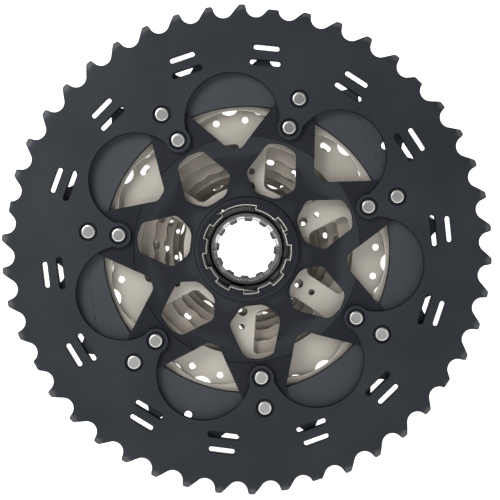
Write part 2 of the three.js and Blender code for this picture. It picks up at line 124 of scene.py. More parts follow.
OUTER_RIVETS = root_radius(37) - 9.73 * MM
INNER_RIVETS = root_radius(32) - 11.33 * MM
DISC_RADIUS = INNER_RIVETS - 5.8 * MM
FLOOR_RADIUS = DISC_RADIUS - 5.2 * MM
PIN_CIRCLE = root_radius(19) - 4.13 * MM
SPLINE_MAJOR = 17.1 * MM
SPLINE_MINOR = 15.6 * MM
print("rivet circles", round(OUTER_RIVETS / MM, 2), round(INNER_RIVETS / MM, 2), "mm radius")

# %% [markdown]
# ## Working by hand, in code
# A modeller adds a primitive, selects some of it, and pulls. These helpers do the same: one makes a
# single object active, one selects the parts of a mesh that pass a test, one adds a flat disc, and
# one draws an outline by pulling a single point from corner to corner and then filling it.

# %% Helpers for selecting and drawing
def only(obj):
    bpy.ops.object.select_all(action="DESELECT")
    obj.select_set(True)
    bpy.context.view_layer.objects.active = obj
    return obj


def pick(obj, kind, test):
    """In edit mode, select only the vertices, edges or faces whose middle passes a test."""
    bpy.ops.mesh.select_mode(type=kind)
    bpy.ops.mesh.select_all(action="DESELECT")
    mesh = bmesh.from_edit_mesh(obj.data)
    if kind == "VERT":
        for vert in mesh.verts:
            vert.select_set(test(vert.co))
    elif kind == "EDGE":
        for edge in mesh.edges:
            edge.select_set(test((edge.verts[0].co + edge.verts[1].co) / 2))
    else:
        for face in mesh.faces:
            face.select_set(test(face.calc_center_median()))
    mesh.select_flush_mode()
    bmesh.update_edit_mesh(obj.data)


def add_disc(name, radius, low, high, sides=96, centre=(0, 0)):
    bpy.ops.object.select_all(action="DESELECT")
    middle = (centre[0], (low + high) / 2, centre[1])
    bpy.ops.mesh.primitive_cylinder_add(
        vertices=sides, radius=radius, depth=high - low, location=middle, rotation=(math.pi / 2, 0, 0)
    )
    bpy.ops.object.transform_apply(location=True, rotation=True, scale=True)
    bpy.context.object.name = name
    return bpy.context.object


def draw_line(name, points):
    """One point, pulled from place to place: a chain of edges, left in edit mode."""
    bpy.ops.object.select_all(action="DESELECT")
    bpy.ops.mesh.primitive_plane_add(size=MM)
    obj = bpy.context.object
    obj.name = name
    bpy.ops.object.mode_set(mode="EDIT")
    bpy.ops.mesh.select_mode(type="VERT")
    bpy.ops.mesh.select_all(action="SELECT")
    bpy.ops.mesh.merge(type="CENTER")
    bpy.ops.transform.translate(value=points[0])
    for here, there in zip(points, points[1:]):
        bpy.ops.mesh.extrude_region_move(TRANSFORM_OT_translate={"value": there - here})
    return obj


def draw_plate(name, points, low, high, rounds=()):
    """A closed outline, filled and pulled along Y. rounds lists (corner number, reach, steps)."""
    points = [Vector((p.x, low, p.z)) for p in points]
    obj = draw_line(name, points)
    ends = [points[0], points[-1]]
    pick(obj, "VERT", lambda co: min((co - end).length for end in ends) < 0.001 * MM)
    bpy.ops.mesh.edge_face_add()
    bpy.ops.mesh.select_all(action="SELECT")
    bpy.ops.mesh.edge_face_add()
    for corner, reach, steps in rounds:
        pick(obj, "VERT", lambda co: (co - points[corner]).length < 0.001 * MM)
        bpy.ops.mesh.bevel(offset=reach, segments=steps, affect="VERTICES", clamp_overlap=True)
    bpy.ops.mesh.select_all(action="SELECT")
    bpy.ops.mesh.extrude_region_move(TRANSFORM_OT_translate={"value": (0, high - low, 0)})
    bpy.ops.mesh.select_all(action="SELECT")
    bpy.ops.mesh.normals_make_consistent(inside=False)
    bpy.ops.object.mode_set(mode="OBJECT")
    return obj


# %% [markdown]
# A press leaves a sheared slot with a slope inside it, wide at one face and narrower at the other.
# That slope is the dark line just inside the slot's bright edge, so the cutter for a pressed slot
# stops just inside the face, steps in, and goes on through.

# %% The cutter of a pressed slot
SHEAR_LIP = 0.3 * MM


def draw_opening(name, points, low, high, rounds, slope):
    """Like draw_plate, through a plate from low to high, but narrowing inside it by the slope."""
    lip = low + SHEAR_LIP
    obj = draw_plate(name, points, low - MM, lip, rounds)
    only(obj)
    bpy.ops.object.mode_set(mode="EDIT")
    pick(obj, "FACE", lambda co: abs(co.y - lip) < 0.001 * MM)
    bpy.ops.mesh.inset(thickness=slope, depth=0)
    bpy.ops.transform.translate(value=(0, high - lip, 0))
    bpy.ops.mesh.extrude_region_move(TRANSFORM_OT_translate={"value": (0, MM, 0)})
    bpy.ops.mesh.select_all(action="SELECT")
    bpy.ops.mesh.normals_make_consistent(inside=False)
    bpy.ops.object.mode_set(mode="OBJECT")
    return obj


# %% [markdown]
# ## Repeats and cuts
# A sprocket is one shape repeated round a circle, so a cutter is made once and an Array modifier
# turns copies of it about the axis, with an empty that holds the angle of one step. A Boolean
# modifier then cuts them all at once. Sharp pressed edges never exist on a real plate, because
# tumbling and plating round them off, so a narrow Bevel on each hard edge comes last. It makes the
# thin line at each edge that makes metal look like metal; the finishes below paint that line bright
# on the nickel plates and the lock ring, as a painted highlight, and near black on the black parts,
# as painted shade.

# %% Helpers for repeating, cutting and finishing
def apply_all(obj):
    only(obj)
    for modifier in list(obj.modifiers):
        bpy.ops.object.modifier_apply(modifier=modifier.name)
    return obj


def turn(obj, degrees):
    """Turn a piece about the axis, in the sense from +X towards +Z."""
    only(obj)
    obj.rotation_euler = (0, -math.radians(degrees), 0)
    bpy.ops.object.transform_apply(location=True, rotation=True, scale=True)
    return obj


def ring_of(obj, count, step=None):
    """Copies of a piece round the axis, in one mesh."""
    pivot = bpy.data.objects.new("pivot", None)
    bpy.context.scene.collection.objects.link(pivot)
    pivot.rotation_euler = (0, -math.radians(step or 360 / count), 0)
    bpy.context.view_layer.update()
    array = obj.modifiers.new("round_the_axis", "ARRAY")
    array.count = count
    array.use_relative_offset = False
    array.use_object_offset = True
    array.offset_object = pivot
    apply_all(obj)
    bpy.data.objects.remove(pivot)
    return obj


def copy_of(obj, name):
    twin = obj.copy()
    twin.data = obj.data.copy()
    twin.name = name
    bpy.context.scene.collection.objects.link(twin)
    return twin


def joined(name, parts):
    bpy.ops.object.select_all(action="DESELECT")
    for part in parts:
        part.select_set(True)
    bpy.context.view_layer.objects.active = parts[0]
    bpy.ops.object.join()
    parts[0].name = name
    return parts[0]


def combine(obj, other, operation="DIFFERENCE", keep=False):
    change = obj.modifiers.new("cut", "BOOLEAN")
    change.operation = operation
    change.solver = "EXACT"
    change.object = other
    apply_all(obj)
    if not keep:
        bpy.data.objects.remove(other)
    return obj


def soften(obj, width=0.12 * MM, sharpest=38, triangles="first"):
    """Break the hard edges, and shade the round walls smooth. Wide faces with many holes are split
    into triangles, first or after near points are merged, or left whole."""
    only(obj)
    bpy.ops.object.mode_set(mode="EDIT")
    bpy.ops.mesh.select_all(action="SELECT")
    if triangles == "first":
        bpy.ops.mesh.quads_convert_to_tris(quad_method="BEAUTY", ngon_method="BEAUTY")
    bpy.ops.mesh.remove_doubles(threshold=0.1 * MM)
    if triangles == "after":
        bpy.ops.mesh.quads_convert_to_tris(quad_method="BEAUTY", ngon_method="BEAUTY")
    bpy.ops.object.mode_set(mode="OBJECT")
    bevel = obj.modifiers.new("broken_edges", "BEVEL")
    bevel.width = width
    bevel.segments = 1
    bevel.limit_method = "ANGLE"
    bevel.angle_limit = math.radians(sharpest)
    bevel.use_clamp_overlap = False
    apply_all(obj)
    bpy.ops.object.mode_set(mode="EDIT")
    bpy.ops.mesh.select_all(action="SELECT")
    bpy.ops.mesh.remove_doubles(threshold=0.0005 * MM)
    bpy.ops.object.mode_set(mode="OBJECT")
    bpy.ops.object.shade_smooth_by_angle(angle=math.radians(30))
    return obj


def finish_piece(obj, node, slot_name):
    """The piece stands for a CAD node, rides on its body, and takes one finish."""
    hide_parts(node)
    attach(obj, frame["nodes"][node]["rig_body"])
    obj.data.materials.clear()
    obj.data.materials.append(MATERIALS[slot_name])
    return obj


# %% [markdown]
# ## Finishes
# Black parts are steel or alloy under a thin satin coat, blasted first, so the surface is smooth to
# the hand but scatters light. Nickel plate over a blasted blank is warm grey and nearly matt. The
# rivets are brighter, and the lock ring is dark bright plating. Every finish has two scales of
# noise on Object coordinates: fine grain in the bump, and broad patches in colour and roughness.
#
# Colour on a plate also follows its direction: a face points along Y, a wall across it, and an edge
# or a tooth's facet lies between. So one ramp, driven by how far the surface's own normal leans from
# Y, chooses among wall, edge and facet colours. Much of that is painted light: dark walls are painted
# shade, and bright edges on the nickel plates, rivets and lock ring are painted highlights. The
# lighter facet on the black teeth stands for the facet's own surface treatment.

# %% One finish
COATED_GLOSS = (0.80, 0.88, 1.0, 1)


def finish(name, faces, leans, metallic, roughness, grain, bump, specular=0.5, bore=None, deep=None):
    """faces: two patch colours. leans: (lean from 0 to 1, colour) stops. bore: (radius, depth, colour).
    deep: (depth, colour) of the wheel-side faces that lie further in than that depth."""
    material = bpy.data.materials.new(name)
    material.use_nodes = True
    nodes = material.node_tree.nodes
    link = material.node_tree.links.new
    shader = nodes["Principled BSDF"]
    shader.inputs["Metallic"].default_value = metallic
    shader.inputs["Specular IOR Level"].default_value = specular
    if metallic == 0:
        shader.inputs["Specular Tint"].default_value = COATED_GLOSS
    place = nodes.new("ShaderNodeTexCoord")

    def math_node(operation, first, second=None):
        node = nodes.new("ShaderNodeMath")
        node.operation = operation
        for slot, value in enumerate((first, second)):
            if value is None:
                continue
            if isinstance(value, (int, float)):
                node.inputs[slot].default_value = value
            else:
                link(value, node.inputs[slot])
        return node.outputs["Value"]

    def ramp(driver, stops):
        node = nodes.new("ShaderNodeValToRGB")
        elements = node.color_ramp.elements
        while len(elements) < len(stops):
            elements.new(0.5)
        for element, (position, colour) in zip(elements, stops):
            element.position = position
            element.color = (*colour, 1)
        link(driver, node.inputs["Fac"])
        return node.outputs["Color"]

    def mixed(factor, under, over):
        node = nodes.new("ShaderNodeMix")
        node.data_type = "RGBA"
        link(factor, node.inputs["Factor"])
        link(under, node.inputs["A"])
        link(over, node.inputs["B"])
        return node.outputs["Result"]

    patches = nodes.new("ShaderNodeTexNoise")
    patches.inputs["Scale"].default_value = 35.0
    patches.inputs["Detail"].default_value = 4.0
    link(place.outputs["Object"], patches.inputs["Vector"])
    colour = ramp(patches.outputs["Fac"], [(0.35, faces[0]), (0.65, faces[1])])

    direction = nodes.new("ShaderNodeSeparateXYZ")
    link(place.outputs["Normal"], direction.inputs["Vector"])
    along = math_node("ABSOLUTE", direction.outputs["Y"])
    flat = nodes.new("ShaderNodeMapRange")
    flat.inputs["From Min"].default_value = 0.988
    flat.inputs["From Max"].default_value = 0.997
    link(along, flat.inputs["Value"])
    # The lean ramp gives walls and edges their own colours: mostly painted shade on walls and painted highlights on
    # edges, as each finish's stops set them.
    lean_colour = ramp(along, leans)
    spot = nodes.new("ShaderNodeSeparateXYZ")
    link(place.outputs["Object"], spot.inputs["Vector"])
    # Wheel-side faces further in than a depth take another colour: darker on the nickel plates, as painted shade of
    # the deeper plates, and lighter on the second black sprocket.
    if deep:
        depth, tint = deep
        beyond = math_node("GREATER_THAN", spot.outputs["Y"], depth)
        inboard = math_node("LESS_THAN", direction.outputs["Y"], 0.0)
        tinted = ramp(patches.outputs["Fac"], [(0.35, tint), (0.65, tuple(1.15 * part for part in tint))])
        colour = mixed(math_node("MULTIPLY", beyond, inboard), colour, tinted)
    # Walls and edges inside a radius and in front of a depth take another colour: bare bright metal at the
    # carrier's bore mouth, and painted shade on the nickel plates' bore walls.
    if bore:
        radius, depth, tint = bore
        squares = [math_node("POWER", spot.outputs[axis], 2.0) for axis in ("X", "Z")]
        inside = math_node("LESS_THAN", math_node("ADD", *squares), radius ** 2)
        near = math_node("LESS_THAN", spot.outputs["Y"], depth)
        tinted = ramp(patches.outputs["Fac"], [(0.0, tint), (1.0, tint)])
        lean_colour = mixed(math_node("MULTIPLY", inside, near), lean_colour, tinted)
    colour = mixed(flat.outputs["Result"], lean_colour, colour)
    link(colour, shader.inputs["Base Color"])

    grains = nodes.new("ShaderNodeTexNoise")
    grains.inputs["Scale"].default_value = grain
    grains.inputs["Detail"].default_value = 3.0
    grains.inputs["Roughness"].default_value = 0.65
    link(place.outputs["Object"], grains.inputs["Vector"])
    shine = nodes.new("ShaderNodeMapRange")
    shine.inputs["To Min"].default_value = roughness[0]
    shine.inputs["To Max"].default_value = roughness[1]
    link(grains.outputs["Fac"], shine.inputs["Value"])
    link(shine.outputs["Result"], shader.inputs["Roughness"])
    relief = nodes.new("ShaderNodeBump")
    relief.inputs["Strength"].default_value = bump
    relief.inputs["Distance"].default_value = 0.02 * MM
    link(grains.outputs["Fac"], relief.inputs["Height"])
    link(relief.outputs["Normal"], shader.inputs["Normal"])
    return material


# %% The six finishes
# Near black, darker than the black coat: it darkens the walls and chamfers of the black parts, as painted shade.
PAINTED_WALL_SHADE = (0.004, 0.004, 0.005)
# Near black brown: it darkens the walls of the nickel plates' splined bores, as painted shade in the bore.
PAINTED_BORE_SHADE = (0.030, 0.026, 0.020)
# Black steel: the near black walls and chamfers are painted shade; the lighter tooth facet stands for the facet's
# own surface treatment.
black_leans = [(0.0, PAINTED_WALL_SHADE), (0.88, PAINTED_WALL_SHADE), (0.93, (0.060, 0.062, 0.064)), (0.985, (0.060, 0.062, 0.064))]
# Carrier: the near black walls and chamfers are painted shade.
alloy_leans = [(0.0, PAINTED_WALL_SHADE), (0.60, PAINTED_WALL_SHADE), (0.75, (0.020, 0.022, 0.026)), (0.985, (0.020, 0.022, 0.026))]
# Nickel: the dark brown walls are painted shade, and the bright band on edges and chamfers is a painted highlight.
nickel_leans = [(0.0, (0.035, 0.028, 0.020)), (0.50, (0.05, 0.04, 0.03)), (0.62, (0.84, 0.81, 0.74)),
                (0.90, (0.84, 0.81, 0.74)), (0.96, (0.52, 0.49, 0.43))]
# Rivets: the bright rounded rim is a painted highlight.
plain_leans = [(0.0, (0.40, 0.39, 0.37)), (0.60, (0.75, 0.74, 0.72)), (0.95, (0.62, 0.61, 0.59))]
# Lock ring: the darker walls are painted shade, and the bright cone and chamfers are a painted highlight.
dark_leans = [(0.0, (0.22, 0.22, 0.22)), (0.56, (0.25, 0.25, 0.25)), (0.60, (0.85, 0.85, 0.84)),
              (0.90, (0.85, 0.85, 0.84)), (0.97, (0.40, 0.40, 0.39))]
plastic_leans = [(0.0, (0.012, 0.012, 0.012)), (0.9, (0.03, 0.03, 0.03))]
DEPTHS = [faces_of(f"sprocket_{teeth}t")[0] - 0.3 * MM for teeth in TEETH]
MATERIALS = {
    "black_alloy": finish("blasted black alloy", [(0.009, 0.010, 0.013), (0.013, 0.014, 0.018)], alloy_leans, 0.0,
                          (0.50, 0.66), 2600, 0.3, 0.14, (17.9 * MM, 0.40 * MM, (0.80, 0.76, 0.68))),
    "black_steel": finish("satin black steel", [(0.013, 0.015, 0.018), (0.019, 0.021, 0.024)], black_leans, 0.0,
                          (0.42, 0.56), 2200, 0.25, 0.22, deep=(DEPTHS[1], (0.034, 0.038, 0.043))),
    # Nickel plates: the splined bore walls are painted near black brown, and the wheel-side faces from the fifth
    # sprocket inwards are painted darker; both are painted shade.
    "nickel_steel": finish("matt nickel plate", [(0.40, 0.375, 0.325), (0.49, 0.46, 0.405)], nickel_leans, 0.8,
                           (0.42, 0.60), 1800, 0.35, 0.5, (17.4 * MM, 1.0, PAINTED_BORE_SHADE),
                           (DEPTHS[4], (0.37, 0.335, 0.285))),
    "rivet_steel": finish("rivet steel", [(0.30, 0.295, 0.285), (0.36, 0.355, 0.345)], plain_leans, 1.0,
                          (0.28, 0.42), 2600, 0.3),
    "black_plastic": finish("moulded black plastic", [(0.014, 0.014, 0.014), (0.022, 0.021, 0.020)], plastic_leans,
                            0.0, (0.45, 0.65), 1500, 0.4, 0.3),
    "lock_steel": finish("dark bright plating", [(0.44, 0.44, 0.43), (0.52, 0.52, 0.51)], dark_leans, 1.0,
                         (0.17, 0.23), 2600, 0.02),
}
print(len(MATERIALS), "finishes")

# %% [markdown]
# ## The gap between two teeth
# A roller sits in a round seat. A shifting sprocket's teeth lean: one wall of each gap stands almost
# straight, to hold the roller, and the other is laid back, so that the chain can ride up and off.
# The gap is drawn once, at the middle of a roller on the X axis, from those two walls and the arc
# between them, and then turned to every place round the blank.

# %% One gap, and the toothed blank
STEEP_SEAT = 84
SHALLOW_SEAT = 50
SEAT_STEPS = 14
TIP_WIDTH = 2.2 * MM
TIP_LEAN = -0.9 * MM
FACET_HEIGHT = 1.9 * MM
TIP_THICKNESS = 0.45


def gap_cutter(teeth, phase, tip, low, high):
    """One gap centred on +X, its walls run on past the corners of the two teeth beside it."""
    centre = pitch_radius(teeth)
    half_step = 180 / teeth
    sweep = STEEP_SEAT + SHALLOW_SEAT
    turns = [180 - STEEP_SEAT + sweep * step / SEAT_STEPS for step in range(SEAT_STEPS + 1)]
    seat = [polar(SEAT_RADIUS, angle) + Vector((centre, 0, 0)) for angle in turns]
    steep = polar(tip, half_step) + polar(TIP_LEAN - TIP_WIDTH / 2, half_step + 90)
    shallow = polar(tip, -half_step) + polar(TIP_LEAN + TIP_WIDTH / 2, 90 - half_step)
    steep_far = steep + (steep - seat[0]).normalized() * 3 * MM
    shallow_far = shallow + (shallow - seat[-1]).normalized() * 3 * MM
    cutter = draw_plate("gap", [steep_far, *seat, shallow_far], low - MM, high + MM)
    turn(cutter, phase + half_step)
    return ring_of(cutter, teeth)


def toothed_blank(name, teeth, phase, rise, low, high):
    """A disc with a facet round its rim on both sides, cut to teeth."""
    tip = pitch_radius(teeth) + rise
    blank = add_disc(name, tip, low, high, sides=teeth * 8)
    middle = (low + high) / 2
    only(blank)
    bpy.ops.object.mode_set(mode="EDIT")
    pick(blank, "FACE", lambda co: abs(co.y - middle) > (high - low) / 4)
    bpy.ops.mesh.inset(thickness=FACET_HEIGHT, depth=0)
    pick(blank, "VERT", lambda co: math.hypot(co.x, co.z) > tip - FACET_HEIGHT / 2)
    bpy.ops.transform.resize(value=(1, TIP_THICKNESS, 1), center_override=(0, middle, 0))
    bpy.ops.object.mode_set(mode="OBJECT")
    return combine(blank, gap_cutter(teeth, phase, tip, low, high))


# %% [markdown]
# ## Shift gates
# On each sprocket a few teeth in pairs are cut low, and the outboard face beside them is milled to
# a shallow ramp. The chain climbs there when the rider shifts. The low teeth show in the outline,
# and the ramps are what makes the outboard side look like a modern cassette.

# %% Gates and ramps
GATES = {
    46: [4, 9, 20, 25, 35, 40], 37: [3, 12, 21, 30], 32: [2, 10, 18, 26], 28: [4, 11, 18, 25],
    24: [2, 10, 18], 21: [3, 10, 17], 19: [3, 12], 17: [2, 10], 15: [], 13: [], 11: [],
}
LEAD_DROP = 0.5 * MM
TRAIL_DROP = 1.6 * MM
RAMP_DEPTH = 0.55 * MM


def gate_cutters(teeth, phase, tip, low, high):
    """Blocks that take the tops off the gate teeth."""
    parts = []
    step = 360 / teeth
    for gate in GATES[teeth]:
        for tooth, drop in [(gate, LEAD_DROP), (gate + 1, TRAIL_DROP)]:
            flat = tip - drop
            corners = [Vector((flat, 0, -3 * MM)), Vector((flat + 4 * MM, 0, -3 * MM)),
                       Vector((flat + 4 * MM, 0, 3 * MM)), Vector((flat, 0, 3 * MM))]
            parts.append(turn(draw_plate("top", corners, low - MM, high + MM), phase + tooth * step))
    return parts


def ramp_cutters(teeth, phase, high):
    parts = []
    step = 360 / teeth
    inner = root_radius(teeth) - 3.6 * MM
    outer = pitch_radius(teeth) + 3 * MM
    half = 4.4 * MM
    for gate in GATES[teeth]:
        corners = [Vector((inner, 0, -half * 0.7)), Vector((outer, 0, -half)),
                   Vector((outer, 0, half)), Vector((inner, 0, half * 0.7))]
        ramp = draw_plate("ramp", corners, high - RAMP_DEPTH, high + MM,
                          rounds=[(0, 1.6 * MM, 4), (3, 1.6 * MM, 4)])
        only(ramp)
        ramp.rotation_euler = (0, 0, math.radians(-2.0))
        bpy.ops.object.transform_apply(location=False, rotation=True, scale=False)
        only(ramp)
        ramp.location = (0, inner * math.sin(math.radians(2.0)) + 0.1 * MM, 0)
        bpy.ops.object.transform_apply(location=True, rotation=False, scale=False)
        parts.append(turn(ramp, phase + (gate + 0.75) * step))
    return parts


# %% [markdown]
# ## The largest sprocket
# Its middle is one opening: seven round scallops, with a round tab left standing at each inner
# rivet. The cutter for that opening is a small solid of its own: a disc, plus the scallops, less the
# tabs. Fourteen pairs of slots lighten the web, and each rivet sits in a shallow round recess.

# %% Opening, slots and rivet seats
SCALLOP_SIDES = 72
HEAD_RADIUS = 2.5 * MM
RECESS_RADIUS = 3.3 * MM
RECESS_DEPTH = 0.8 * MM
SHANK_HOLE = 1.75 * MM


def without_tabs(opening, tab, low, high):
    """Take a round post out of an opening's cutter at each inner rivet, where a tab stays standing."""
    for index in range(ARM_COUNT):
        spot = polar(INNER_RIVETS, FIRST_ARM + index * 360 / ARM_COUNT)
        post = add_disc("tab", tab, low - 3 * MM, high + 3 * MM, 48, (spot.x, spot.z))
        combine(opening, post)
    return opening


def scalloped_cutter(disc, scallop, scallop_centre, tab, low, high):
    opening = add_disc("opening", disc, low - MM, high + MM, sides=168)
    first = FIRST_ARM + 180 / ARM_COUNT
    for index in range(ARM_COUNT):
        spot = polar(scallop_centre, first + index * 360 / ARM_COUNT)
        round_cut = add_disc("scallop", scallop, low - 2 * MM, high + 2 * MM, SCALLOP_SIDES, (spot.x, spot.z))
        combine(opening, round_cut, "UNION")
    return without_tabs(opening, tab, low, high)


def waved_cutter(scallop, scallop_centre, tab, low, high):
    """The same for scallops that run into each other: their arcs are drawn from valley to valley."""
    half = math.radians(180 / ARM_COUNT)
    valley = scallop_centre * math.cos(half)
    valley += math.sqrt(scallop ** 2 - (scallop_centre * math.sin(half)) ** 2)
    reach = math.degrees(math.atan2(valley * math.sin(half), valley * math.cos(half) - scallop_centre))
    outline = []
    for index in range(ARM_COUNT):
        angle = FIRST_ARM + (index + 0.5) * 360 / ARM_COUNT
        centre = polar(scallop_centre, angle)
        outline += [centre + polar(scallop, angle + reach * (step / 12 - 1)) for step in range(24)]
    return without_tabs(draw_plate("opening", outline, low - MM, high + MM), tab, low, high)


def capsule(name, radius, degrees, length, width, low, high, slope=0.15 * MM):
    """A straight slot cutter with round ends, square to the radius through its middle."""
    corners = [Vector((radius + x * width / 2, 0, z * length / 2))
               for x, z in [(-1, -1), (1, -1), (1, 1), (-1, 1)]]
    rounds = [(corner, width * 0.49, 6) for corner in range(4)]
    return turn(draw_opening(name, corners, low, high, rounds, slope), degrees)


def rivet_seats(circle, low, high, recess=True):
    """Cutters for one circle of rivets: a through hole, and a recess on the inboard side."""
    parts = []
    for index in range(ARM_COUNT):
        spot = polar(circle, FIRST_ARM + index * 360 / ARM_COUNT)
        if recess:
            parts.append(add_disc("recess", RECESS_RADIUS, low - MM, low + RECESS_DEPTH, 40, (spot.x, spot.z)))
        else:
            parts.append(add_disc("hole", SHANK_HOLE, low - MM, high + MM, 24, (spot.x, spot.z)))
    return parts


# %% Largest sprocket
low, high = faces_of("sprocket_46t")
LARGE_RISE = 1.05 * MM
large = toothed_blank("large_sprocket", 46, PHASES[0], LARGE_RISE, low, high)
large_tip = pitch_radius(46) + LARGE_RISE
combine(large, joined("tops", gate_cutters(46, PHASES[0], large_tip, low, high)))
combine(large, joined("ramps", ramp_cutters(46, PHASES[0], high)))
scallops = scalloped_cutter(INNER_RIVETS - 2.5 * MM, 18 * MM, INNER_RIVETS + 0.7 * MM, 5 * MM, low, high)
combine(large, scallops)
slots = []
for side in (-13.6, 13.6):
    angle = FIRST_ARM + side
    slots.append(capsule("slot", root_radius(46) - 11.45 * MM, angle, 10.1 * MM, 2.0 * MM, low, high))
    slots.append(capsule("slot", root_radius(46) - 17.2 * MM, angle, 12.0 * MM, 2.0 * MM, low, high))
combine(large, ring_of(joined("slots", slots), ARM_COUNT))
for circle in (OUTER_RIVETS, INNER_RIVETS):
    combine(large, joined("seats", rivet_seats(circle, low, high)))
    combine(large, joined("holes", rivet_seats(circle, low, high, recess=False)))
soften(large, 0.3 * MM, triangles="none")
finish_piece(large, "sprocket_46t", "black_steel")
print("largest sprocket", len(large.data.polygons), "faces")

# %% [markdown]
# ## The second and third sprockets
# The second is a black ring, held by the outer rivets only. The third is the first of the nickel
# ones. It has an opening like the largest one's, but its scallops run into each other, so only its
# rivet tabs reach inwards.

# %% Second and third sprockets
MIDDLE_RISE = 1.2 * MM
low, high = faces_of("sprocket_37t")
second = toothed_blank("second_sprocket", 37, PHASES[1], MIDDLE_RISE, low, high)
combine(second, joined("tops", gate_cutters(37, PHASES[1], pitch_radius(37) + MIDDLE_RISE, low, high)))
combine(second, joined("ramps", ramp_cutters(37, PHASES[1], high)))
combine(second, add_disc("bore", OUTER_RIVETS - 6.1 * MM, low - MM, high + MM, 224))
combine(second, joined("holes", rivet_seats(OUTER_RIVETS, low, high, recess=False)))
small_spots = [polar(67.8 * MM, 250.5), polar(66.8 * MM, 36.9)]
drills = [add_disc("drill", 1.5 * MM, low - MM, high + MM, 24, (p.x, p.z)) for p in small_spots]
combine(second, joined("drills", drills))
soften(second, 0.35 * MM, triangles="after")
finish_piece(second, "sprocket_37t", "black_steel")

low, high = faces_of("sprocket_32t")
third = toothed_blank("third_sprocket", 32, PHASES[2], MIDDLE_RISE, low, high)
combine(third, joined("tops", gate_cutters(32, PHASES[2], pitch_radius(32) + MIDDLE_RISE, low, high)))
combine(third, joined("ramps", ramp_cutters(32, PHASES[2], high)))
combine(third, waved_cutter(24.2 * MM, INNER_RIVETS - 19.5 * MM, 4.8 * MM, low, high))
combine(third, joined("holes", rivet_seats(INNER_RIVETS, low, high, recess=False)))
soften(third, 0.22 * MM)
finish_piece(third, "sprocket_32t", "nickel_steel")
print("second and third", len(second.data.polygons), len(third.data.polygons), "faces")

# %% [markdown]
# ## The splined bore
# Everything that slides on the freehub has the same bore: a round hole with grooves let into its
# wall, one of them wide, so that a sprocket fits only one way round and the shift gates stay in
# step. It is drawn once, long enough to pass through the whole stack, and cuts each piece in turn.

# %% One long cutter for every splined bore
GROOVE_HALF = 9.7
KEY_ANGLE = 461.8
KEY_HALF = 23.8
grooves = [(155.8 + 40 * index, GROOVE_HALF) for index in range(7)] + [(KEY_ANGLE, KEY_HALF)]


def arc(radius, start, end, steps):
    return [polar(radius, start + (end - start) * step / steps) for step in range(steps + 1)]


spline_points = []
for index, (angle, half) in enumerate(grooves):
    after, after_half = grooves[(index + 1) % len(grooves)]
    land_end = after - after_half + (360 if index == len(grooves) - 1 else 0)
    spline_points += arc(SPLINE_MAJOR, angle - half, angle + half, 4 if half < 20 else 9)
    spline_points += arc(SPLINE_MINOR, angle + half, land_end, 4 if land_end - angle - half < 25 else 7)
spline_cutter = draw_plate("spline_cutter", spline_points, -5 * MM, 45 * MM)
print("splined bore outline has", len(spline_points), "points")

# %% [markdown]
# ## The small sprockets
# From the fourth sprocket down, each is a plate on the splined bore. The larger ones are cut away to
# six arms. The rings between their windows and their teeth are narrower on each plate, and from the
# wheel side they show as steps, one behind another. Their window edges are slightly wavy on two of
# the plates, where the ring is thinned between the teeth.

# %% Windows, holes and small plates
ARM_HALF = 5.2 * MM
SMALL_RISE = 1.6 * MM
LANDS = {28: 11.5 * MM, 24: 8.1 * MM, 21: 6.26 * MM, 19: 5.23 * MM, 17: 3.31 * MM}
WAVES = {24: 0.45 * MM, 21: 0.4 * MM}
HUB_WALL = {28: 7.6 * MM}
ARM_HOLE_CIRCLE = PIN_CIRCLE - 6.1 * MM
LIGHT_HOLES = {
    21: (3.0 * MM, 1.1 * MM, 3.2 * MM, (0, 3, 4, 9, 10, 13)),
    19: (2.7 * MM, 0.95 * MM, 2.6 * MM, (0, 8, 9)),
    17: (2.0 * MM, 0.8 * MM, 2.0 * MM, (2, 7, 8)),
}


def small_window(teeth, low, high):
    inner = SPLINE_MAJOR + HUB_WALL.get(teeth, 5.6 * MM)
    outer = root_radius(teeth) - LANDS[teeth]
    half_step = 180 / SMALL_ARM_COUNT
    inner_half = half_step - math.degrees(math.asin(ARM_HALF / inner))
    outer_half = half_step - math.degrees(math.asin(ARM_HALF / outer))
    rim = arc(outer, -outer_half, outer_half, 14)
    wave = WAVES.get(teeth, 0)
    for number, point in enumerate(rim[2:-2]):
        point *= 1 + wave * math.sin(number * math.pi / 2) / outer
    hub = arc(inner, inner_half, -inner_half, 6)
    reach = min(3.6 * MM, (outer - inner) * 0.4)
    last = len(rim) + len(hub) - 1
    rounds = [(corner, reach * 0.6, 5) for corner in (0, len(rim) - 1, len(rim), last)]
    window = draw_plate("window", rim + hub, low - MM, high + MM, rounds)
    turn(window, FIRST_SMALL_ARM + half_step)
    return ring_of(window, SMALL_ARM_COUNT)


def drill(radius, circle, degrees, low, high):
    spot = polar(circle, degrees)
    return add_disc("drill", radius, low - MM, high + MM, 24, (spot.x, spot.z))


